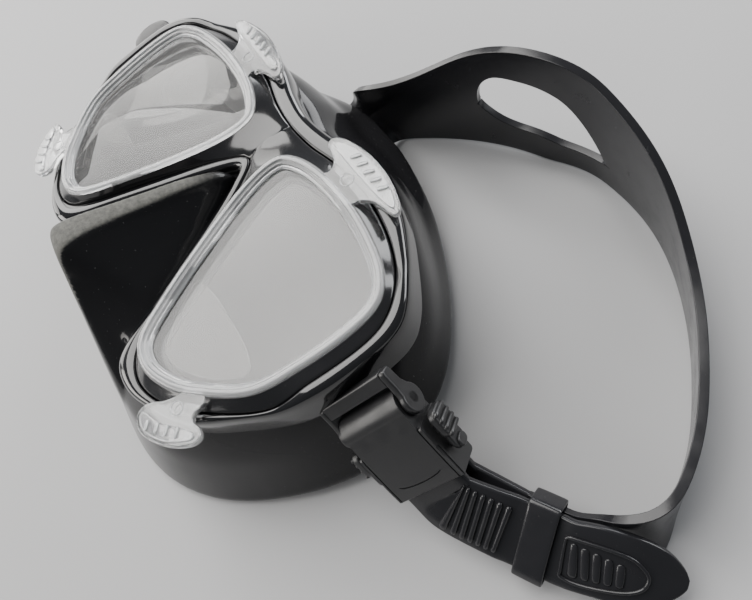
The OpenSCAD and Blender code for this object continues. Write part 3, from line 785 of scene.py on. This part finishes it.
def turn_matrix(roll, pitch, yaw):
    return np.array(Matrix.Rotation(math.radians(yaw), 3, "Z") @ Matrix.Rotation(math.radians(pitch), 3, "Y")
                    @ Matrix.Rotation(math.radians(roll), 3, "X"))


BUCKLE_TURN = turn_matrix(*TURN)
RIGHT_TURN = turn_matrix(RIGHT_ROLL, *TURN[1:])      # the right buckle before it is mirrored


def left_at(point):
    """A place in the left buckle's own frame, in the row frame."""
    return HINGE + BUCKLE_TURN @ np.array(point, float)


def width_dir(along, roll):
    u = np.array(along[:2], float) / np.linalg.norm(along[:2])
    c, s = math.cos(math.radians(roll)), math.sin(math.radians(roll))
    return np.array([-u[1] * c, u[0] * c, s])


KEEPER_DIR = np.array([math.cos(math.radians(KEEPER_YAW)), math.sin(math.radians(KEEPER_YAW)), 0])
KEEPER_W = width_dir(KEEPER_DIR, ROLL_HELD)
KEEPER_UP = np.cross(KEEPER_DIR, KEEPER_W)


class Band:
    """A strap laid along stations (middle, width direction, low, high), evened along its length."""

    def __init__(self, stations, samples=6, passes=0):
        raw = np.array([[*c, *w, lo, hi] for c, w, lo, hi in stations], float)
        path = drawn_even(smooth_path(raw, samples), passes)
        self.mid, self.low, self.high = path[:, :3], path[:, 6], path[:, 7]
        along = np.gradient(self.mid, axis=0)
        along = along / np.linalg.norm(along, axis=1)[:, None]
        wide = path[:, 3:6]
        wide = wide - (wide * along).sum(1)[:, None] * along
        self.wide = wide / np.linalg.norm(wide, axis=1)[:, None]
        self.up = np.cross(along, self.wide)
        self.run = run_along(self.mid)

    def at(self, s, v, n):
        """The place s along, v across and n above the middle surface, in mm."""
        mid, wide, up = (at_runs(line, self.run, s) for line in (self.mid, self.wide, self.up))
        return mid + v * wide + n * up

    def span(self, s):
        return np.interp(s, self.run, self.low), np.interp(s, self.run, self.high)

    def place(self, point):
        return self.run[int(np.argmin(np.linalg.norm(self.mid - np.array(point), axis=1)))]

    def rows(self):
        """Sections with rounded edges."""
        rows = []
        h = STRAP_T / 2
        quarter = np.linspace(0, math.pi / 2, 4)
        for mid, wide, up, lo, hi in zip(self.mid, self.wide, self.up, self.low, self.high):
            r = min(STRAP_CORNER, h * 0.95, (hi - lo) / 2.2)
            inner = np.linspace(lo + r, hi - r, 7)[1:-1]
            section = [(hi - r + r * math.sin(a), h - r + r * math.cos(a)) for a in quarter]
            section += [(hi - r + r * math.cos(a), -h + r - r * math.sin(a)) for a in quarter]
            section += [(v, -h) for v in inner[::-1]]
            section += [(lo + r - r * math.sin(a), -h + r - r * math.cos(a)) for a in quarter]
            section += [(lo + r - r * math.cos(a), h - r + r * math.sin(a)) for a in quarter]
            section += [(v, h) for v in inner]
            rows.append([mid + v * wide + n * up for v, n in section])
        return rows


def mouth_stations(layer):
    """Left side, from the buckle's mouth to the keeper; layer is 1 for the tail, -1 for the main run."""
    w, d = BUCKLE_TURN @ (0, 1, 0), layer * LAYER
    held = [(-11, HELD + 0.9, 1.1), (-6.5, HELD + 0.3, 0), (3, HELD, 0)]
    mids = [left_at((x, 0, d)) for x in (BAR_X, 18, MOUTH_X, MOUTH_X + 1.8)]
    mids.append(left_at((MOUTH_X + 5.6, 0, d)) + (0.6, 0.7, 1.2))
    return ([(mid, w, -HALF_W, HALF_W) for mid in mids]
            + [(KEEPER_MID + along * KEEPER_DIR + layer * gap * KEEPER_UP + (0, 0, lift), KEEPER_W,
                -HALF_W, HALF_W) for along, gap, lift in held])


def flip(point):
    return np.array([-point[0], point[1], point[2]])


def right_at(point):
    return flip(HINGE + RIGHT_TURN @ np.array(point, float))


def right_mouth_stations(layer):
    w, d = flip(RIGHT_TURN @ (0, 1, 0)), layer * LAYER
    held = [(9, HELD + 1.1, 0.8, 0.12), (5, HELD + 0.2, 0.1, 0), (-5, HELD, 0, 0)]
    near = (right_at((MOUTH_X + 5.6, 0, d)) + (-0.4, 0.2, 1.2), np.array([0.03, 0.99, 0.12]), -HALF_W, HALF_W)
    return ([(right_at((x, 0, d)), w, -HALF_W, HALF_W) for x in (BAR_X, 18, MOUTH_X, MOUTH_X + 1.8)] + [near]
            + [(RIGHT_KEEPER_MID + (along, 0, lift + layer * gap), np.array([0, 1, tilt]), -HALF_W, HALF_W)
               for along, gap, lift, tilt in held])


# Where the free run lies in plan over the split, as (places along X, places along Y)
RUN_Y = tuple(np.array(sorted((m[0], m[1]) for m, _, _ in STRAP_RUN[13:20])).T)


def run_stations():
    out = []
    for i, (mid, roll, height) in enumerate(STRAP_RUN):
        a, b = STRAP_RUN[max(i - 1, 0)][0], STRAP_RUN[min(i + 1, len(STRAP_RUN) - 1)][0]
        along = np.array(b, float) - np.array(a, float)
        out.append((np.array(mid, float), width_dir(along, roll), -height / 2, height / 2))
    return out


def split_edges(band, places):
    """The split's lower and upper edge at each place, from the middle line; nan where it is closed."""
    marks = [(band.place((x, np.interp(x, *RUN_Y), 0.5 * (lo + hi))), lo, hi) for x, lo, hi in SPLIT]
    middle = [band.at(s, 0, 0)[2] for s, _, _ in marks]
    low = [(s, lo - z) for (s, lo, _), z in zip(marks, middle)]
    high = [(s, hi - z) for (s, _, hi), z in zip(marks, middle)]
    loop = shut(smooth_loop(low + high[::-1], 8))
    out = []
    for s in places:
        cross = [a[1] + (b[1] - a[1]) * (s - a[0]) / (b[0] - a[0]) for a, b in zip(loop[:-1], loop[1:])
                 if (a[0] - s) * (b[0] - s) < 0]
        out.append((min(cross), max(cross)) if len(cross) > 1 else (math.nan, math.nan))
    return np.array(out), loop[:, 0].min(), loop[:, 0].max()


SPLIT_ROWS = 8                   # quads across each side of the split
WELD_GAP = 0.002


def strap_middle():
    """Everything between the two keepers: the looped run, its split and the fold at the right end."""
    start = mouth_stations(-1)[-2:]
    fold_y = RIGHT_KEEPER_MID[1]
    fold = [(np.array([FOLD_X - FOLD_R * math.sin(a), fold_y, GROUND_MID + FOLD_R * (1 - math.cos(a))]),
             np.array([0, 1, 0]), -HALF_W, HALF_W) for a in np.linspace(0, math.pi, 6)]
    band = Band(start + run_stations() + fold + [right_mouth_stations(-1)[-1]], 8, 40)
    _, first, last = split_edges(band, [])
    swell = 0.5 - 0.5 * np.cos(np.linspace(0, math.pi, 46))
    places = np.concatenate([np.linspace(0, first - 0.4, 90), first + 0.02 + (last - first - 0.04) * swell,
                             np.linspace(last + 0.4, band.run[-1], 150)])
    edges, _, _ = split_edges(band, places)
    low, high = band.span(places)
    share = (edges - low[:, None]) / (high - low)[:, None]
    open_at = np.nonzero(~np.isnan(share[:, 0]))[0]
    for side, near in ((slice(0, open_at[0]), open_at[0]), (slice(open_at[-1] + 1, None), open_at[-1])):
        share[side] = share[near].mean()
    verts, faces = [], []
    for s, lo, hi, (a, b) in zip(places, low, high, share):
        for t in (*np.linspace(0, a, SPLIT_ROWS), *np.linspace(b, 1, SPLIT_ROWS)):
            verts.append(band.at(s, lo + t * (hi - lo), 0) * MM)
    wide = 2 * SPLIT_ROWS
    for i in range(len(places) - 1):
        for k in range(wide - 1):
            if k != SPLIT_ROWS - 1:
                a = i * wide + k
                faces.append((a, a + 1, a + wide + 1, a + wide))
    obj = new_object("strap_run", verts, faces, STRAP)
    weld(obj, WELD_GAP * MM)
    modify(obj, "SOLIDIFY", thickness=STRAP_T * MM, offset=0, use_even_offset=True)
    softened(obj, 0.55, 3, 55)
    return settle(obj, MASK, "strap", "strap")


def raised_bar(band, s, v0, v1, width, height, base):
    """A rounded rib across a strap, from v0 to v1, centred s along it."""
    rows = []
    for t in (0, 0.02, 0.05, 0.1, 0.3, 0.5, 0.7, 0.9, 0.95, 0.98, 1):
        inside = min(1, (0.04 + (v1 - v0) * min(t, 1 - t)) / (0.55 * width))
        end = math.sqrt(1 - (1 - inside) ** 2)
        rise = height * end
        section = [(-0.5, -0.3), (-0.5, 0.45 * rise), (-0.3, 0.85 * rise), (0, rise), (0.3, 0.85 * rise),
                   (0.5, 0.45 * rise), (0.5, -0.3)]
        rows.append([band.at(s + share * width * end, v0 + (v1 - v0) * t, base + n) for share, n in section])
    return loft("rib", rows, STRAP, caps=True)


def raised_loop(band, outline, width, height, base):
    """A raised line on a strap along a closed outline of (s, v) points."""
    loop = resample(smooth_loop(outline, 6), 90)
    side = inner_side(loop)
    rows = []
    for d, n in ((-0.5, -0.3), (-0.45, 0.5), (-0.2, 0.95), (0.2, 0.95), (0.45, 0.5), (0.5, -0.3)):
        rows.append([band.at(*q, base + n * height) for q in loop + d * width * side])
    return loft("outline", rows, STRAP, ring=True)


RIB_PITCH = 2.1
RIB_START, RIB_CLEAR = 4.6, 14.6             # first rib from the mouth, and the length free of ribs
BAR_START, BAR_PITCH = 8.4, 2.65             # the tail's raised bars, from the keeper
BEND_OUT, BEND_IN = 4.0, 1.65                # radii of the strap's bend round its bar


def grown(distance, taper):
    """The share of the full half width at a distance from the tail's tip."""
    return math.sqrt(1 - (1 - min(1, (distance + 0.03) / taper)) ** 2)


def tail_stations():
    """The left tail past its keeper, a long curve along its upper edge and a short one along its lower."""
    path = smooth_path(TAIL_RUN, 2)
    along = np.gradient(path[:, :3], axis=0)
    steps = np.linalg.norm(np.diff(path[:, :3], axis=0), axis=1)
    to_tip = np.append(np.cumsum(steps[::-1])[::-1], 0)
    return [(p[:3] + HELD * KEEPER_UP, width_dir(u, p[3]), TIP_V - (TAIL_EDGE + TIP_V) * grown(d, TIP_LOW),
             TIP_V + (TAIL_EDGE - TIP_V) * grown(d, TIP_HIGH)) for p, u, d in zip(path, along, to_tip)]


def strap_end(side, sign):
    """Both layers between a buckle and its keeper, with the tail's ribs."""
    left = sign > 0
    stations, at = (mouth_stations, left_at) if left else (right_mouth_stations, right_at)
    main = Band(stations(-1)[:-1] if left else stations(-1))
    if left:
        tail = tail_stations()
    else:
        end = RIGHT_KEEPER_MID + (0, 0, HELD)
        tail = [(end + (dx, 0, dz), np.array([0, 1, 0]), -half, half)
                for dx, dz, half in ((-10, 0.3, 9.75), (-14, 0.25, 8.6), (-16.6, 0.1, 6), (-18, 0, 2.4))]
    layer = Band(stations(1) + tail, 6, 8)
    parts = [loft("layer", band.rows(), STRAP, caps=True) for band in (main, layer)]
    top = 0.5 * STRAP_T
    keeper_s = layer.place(KEEPER_MID + HELD * KEEPER_UP if left else RIGHT_KEEPER_MID)
    mouth_s = layer.place(at((MOUTH_X, 0, LAYER)))
    room = keeper_s - mouth_s - RIB_CLEAR
    ribs = 1 + max(0, round(room / RIB_PITCH))
    for k in range(ribs):
        s = mouth_s + RIB_START + k * room / max(1, ribs - 1)
        parts.append(raised_bar(layer, s, -8.3 + 0.1 * k, 8.3 - 0.25 * k, 1.5, 0.9, sign * top))
    if left:
        tip = layer.run[-1]
        outline = [(keeper_s + s, v) for s, v in ((6.3, -6), (6, -4), (6, 3.6), (6.6, 5.4), (11, 5.2))]
        outline += [(tip - s, v) for s, v in ((13.5, 3.4), (9.8, 0.6), (8.8, -1.8), (10.2, -4.4), (14.5, -6))]
        outline.append((keeper_s + 11, -6.7))
        parts.append(raised_loop(layer, outline, 1.0, 0.7, top))
        for k in range(5):
            s = keeper_s + BAR_START + BAR_PITCH * k
            parts.append(raised_bar(layer, s, -5.4 + 0.1 * k, 4.2 - 0.75 * k, 2.1, 0.5, top))
    turn = np.linspace(math.pi / 2, 1.5 * math.pi, 13)
    half_ring = [(BAR_X + BEND_OUT * math.cos(a), BEND_OUT * math.sin(a)) for a in turn]
    half_ring += [(BAR_X + BEND_IN * math.cos(a), BEND_IN * math.sin(a)) for a in turn[::-1]]
    parts.append(on_hinge(swept_y(half_ring, (-HALF_W, HALF_W), 0.3, STRAP), sign))
    obj = joined(f"{side}_strap_end", parts)
    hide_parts(f"{side}_strap_tail", f"{side}_strap_bend")
    at_mouth = at((MOUTH_X - 2, 0, 0))
    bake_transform(obj)
    return obj


KEEPER_HALF_L = 4.0
KEEPER_HALF_W, KEEPER_HALF_H, KEEPER_WALL = HALF_W + 1.3, 3.75, 1.15
# Along as a share of the half length, out as a share of the wall
KEEPER_PROFILE = [(-1, 0), (-0.985, 0.3), (-0.93, 0.46), (-0.8, 0.5), (0, 0.55), (0.8, 0.5), (0.93, 0.46),
                  (0.985, 0.3), (1, 0), (0.97, -0.42), (0.5, -0.5), (-0.5, -0.5), (-0.97, -0.42)]


def keeper(side, sign):
    """A plain rounded loop round both layers."""
    left = sign > 0
    along = KEEPER_DIR if left else np.array([1.0, 0, 0])
    wide = KEEPER_W if left else np.array([0, 1.0, 0])
    up = np.cross(along, wide)
    middle = KEEPER_MID - KEEPER_DIR if left else RIGHT_KEEPER_MID
    rows = []
    for u, n in KEEPER_PROFILE:
        row = []
        power = 0.2 + 0.2 * max(0, n)
        for k in range(64):
            a = 2 * math.pi * (k + 0.5) / 64
            c, s = math.cos(a), math.sin(a)
            x = math.copysign(abs(c) ** power, c) * (KEEPER_HALF_W + n * KEEPER_WALL)
            y = math.copysign(abs(s) ** power, s) * (KEEPER_HALF_H + n * KEEPER_WALL)
            row.append(middle + u * KEEPER_HALF_L * along + x * wide + y * up)
        rows.append(row)
    obj = refine(loft(f"{side}_loop", rows, STRAP, ring=True))
    return settle(obj, f"{side}_keeper_loop", "strap", f"{side}_keeper")


# ---------------------------------------------------------------- buckles

def on_hinge(obj, sign):
    """From a buckle's own frame to its place in the row frame; sign is 1 on the left."""
    turn = Matrix([list(row) for row in (BUCKLE_TURN if sign > 0 else RIGHT_TURN)]).to_4x4()
    obj.data.transform(Matrix.Translation(Vector(HINGE * MM)) @ turn)
    return on_side(obj, sign)


def swept_y(outline, across, edge=0, material=SATIN):
    """An outline in the buckle's X and Z carried along its Y, with its edges rounded."""
    low, high = sorted(across)
    obj = loft("sweep", [[(x, y, z) for x, z in outline] for y in (low, high)], material, caps=True)
    return softened(obj, edge, 3, 50) if edge else obj


def arc(radius, first, last, count=16, centre=(0, 0)):
    return [(centre[0] + radius * math.cos(math.radians(a)), centre[1] + radius * math.sin(math.radians(a)))
            for a in np.linspace(first, last, count)]


def oblong(x0, x1, z0, z1, r, count=6):
    """A rectangle with round corners, as (X, Z) points."""
    corners = ((x1 - r, z1 - r, 0), (x0 + r, z1 - r, 90), (x0 + r, z0 + r, 180), (x1 - r, z0 + r, 270))
    return [q for x, z, a in corners for q in arc(r, a, a + 90, count, (x, z))]


SHELL_LENGTH = 22.4
SHELL_HALF_W = 11.2
BARREL_HALF_W = 10.1


def buckle_shell(side, sign):
    """Barrel and plate in one teardrop profile, hollow from the mouth, with gaps beside the plate."""
    lip_x = SHELL_LENGTH - 1.1
    nose = arc(1.1, -62, 0, 5, (lip_x, -4.45)) + arc(1.1, 0, 62, 5, (lip_x, 4.45))
    nose += [(18, 5.58), (12, 5.6), (8, 5.58)]
    drop = nose + [(5, 5.5), (2.6, 5.3)] + arc(5.15, 78, 282, 30) + [(2.6, -5.3), (5, -5.5)]
    sleeve = nose + [(6.6, 5.5)] + arc(0.9, 100, 180, 4, (6.6, 4.6)) + arc(0.9, 180, 260, 4, (6.6, -4.6))
    under = [(8, -5.58), (18, -5.58)]
    obj = swept_y(drop + under, (-BARREL_HALF_W, BARREL_HALF_W))
    cut(obj, swept_y(sleeve + under, (-SHELL_HALF_W, SHELL_HALF_W)), "UNION")
    cut(obj, swept_y(oblong(5.8, 30, -4.1, 4.1, 0.8), (-9.95, 9.95)))
    for way in (1, -1):
        cut(obj, swept_y(oblong(5.2, 30, 4.75, 8, 0.1), (way * 9.98, way * 10.36)))
        cut(obj, swept_y(oblong(12, 30, 4.4, 8, 0.1), (way * 10.9, way * 13)))
    bow = [(17.3 + 1.5 * math.cos(a), 7.4 * math.sin(a)) for a in np.radians(np.linspace(-78, 74, 20))]
    line = bow + [(x + 0.42, y) for x, y in bow[::-1]]
    cut(obj, loft("groove", [[(x, y, z) for x, y in line] for z in (5.05, 7)], SATIN, caps=True))
    on_hinge(softened(obj, 0.22, 2), sign)
    obj.name = f"{side}_buckle_shell"
    return settle(obj, f"{side}_buckle", "satin_plastic", f"{side}_buckle_body")


def buckle_mount(side, sign):
    """Two round ears on a foot that is let into the frame's side."""
    ear = arc(4.2, 128, -146, 26)
    ear += [(-5.6, -1.2), (-9.4, -0.9), (-10.6, -0.4), (-10.6, 2.6), (-9.4, 3.0), (-5, 3.0)]
    parts = [swept_y(ear, (way * 10.4, way * 12.4), 0.55) for way in (1, -1)]
    parts.append(swept_y(oblong(-10.8, -6.4, -0.5, 3, 0.7), (-10.6, 10.6), 0.2))
    obj = on_hinge(joined(f"{side}_mount_ears", parts), sign)
    return settle(obj, MASK, "satin_plastic", f"{side}_buckle_mount")


RIDGE_PITCH = 1.95


def release_button(side, sign, level, way):
    """A side arm with a ridged thumb pad and a small bump at its free end; way is 1 for the upper one."""
    arm = oblong(4.8, 17.5, -3, 3, 2.6), (12.9, 14.3), 0.4
    pad = oblong(4.8, 13.0, -3.6, 3.6, 2.2), (12.9, 15.25), 0.6
    bump = oblong(14.4, 17.4, -2.2, 2.2, 1.4), (14.0, 15.0), 0.4
    peg = arc(1.15, 0, 337.5, 16, (15.5, 0)), (9.6, 13.2), 0
    parts = [swept_y(outline, (way * a, way * b), edge) for outline, (a, b), edge in (arm, pad, bump, peg)]
    for k in range(4):
        rows = []
        for z in np.linspace(-1, 1, 11):
            size = math.sqrt(max(0, 1 - abs(z) ** 6)) * 0.75 + 0.2
            rows.append([(6.1 + RIDGE_PITCH * k + 0.8 * size * math.cos(a),
                          way * (15.2 + 0.9 * size * math.sin(a)), 3.55 * z)
                         for a in np.linspace(0, 2 * math.pi, 14, endpoint=False)])
        parts.append(loft("ridge", rows, SATIN, caps=True))
    obj = on_hinge(joined(f"{side}_{level}_thumb_pad", parts), sign)
    return settle(obj, f"{side}_{level}_release", "satin_plastic", f"{side}_{level}_button")


# ---------------------------------------------------------------- stage, lights and camera

def floor():
    bm = bmesh.new()
    bmesh.ops.create_grid(bm, x_segments=2, y_segments=2, size=3)
    mesh = bpy.data.meshes.new("floor")
    bm.to_mesh(mesh)
    bm.free()
    mesh.transform(Matrix.Translation((0, 0, -0.0001)))
    mesh.materials.append(new_material("paper", (0.42, 0.42, 0.425), 0.8))
    linked("floor", mesh)


def soft_box(name, place, target, size, power, colour):
    data = bpy.data.lights.new(name, "AREA")
    data.shape = "RECTANGLE"
    data.size, data.size_y = size
    data.energy = power
    data.color = colour
    obj = linked(name, data)
    obj.location = place
    obj.rotation_euler = (Vector(target) - Vector(place)).to_track_quat("-Z", "Y").to_euler()


def lights():
    soft_box("ceiling", (-0.75, 0.0, 1.25), (0, 0.02, 0), (1.3, 1.5), 42, (1.0, 0.985, 0.965))
    soft_box("window", (-0.3, 1.3, 0.36), (0.0, 0.05, 0.02), (1.8, 0.55), 26, (0.97, 0.98, 1.0))
    soft_box("wall", (-0.35, -1.25, 0.62), (0, 0, 0.02), (1.3, 0.55), 16, (1.0, 0.97, 0.93))
    soft_box("far wall", (-1.4, -0.45, 0.42), (0, 0, 0.03), (1.5, 0.8), 16, (1.0, 0.98, 0.95))
    world = bpy.data.worlds.new("studio")
    world.use_nodes = True
    sky = world.node_tree.nodes["Background"]
    sky.inputs["Color"].default_value = (0.8, 0.85, 0.9, 1)
    sky.inputs["Strength"].default_value = 0.22
    bpy.context.scene.world = world


def camera():
    data = bpy.data.cameras.new("camera")
    data.lens = 31.12
    data.sensor_width = 36
    data.clip_start = 0.01
    obj = linked("camera", data)
    obj.location = (0.1544, 0.0320, 0.1870)
    obj.rotation_euler = [math.radians(a) for a in (24.49, 19.55, 57.54)]
    bpy.context.scene.camera = obj


frame_cover()
main_frame()
for name, sign in SIDES:
    retainer(name, sign)
    lens(name, sign)
    reading_segment(name, sign)
skirt()
strap_middle()
for name, sign in SIDES:
    strap_end(name, sign)
    keeper(name, sign)
    buckle_shell(name, sign)
    buckle_mount(name, sign)
    release_button(name, sign, "upper", 1)
    release_button(name, sign, "lower", -1)

FINISHES = (("bar", STEEL), ("pawl", STEEL), ("strap", STRAP), ("keeper", STRAP))
for node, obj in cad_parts.items():
    material = next((m for word, m in FINISHES if word in node), SATIN)
    obj.data.materials.clear()
    obj.data.materials.append(material)

floor()
lights()
camera()
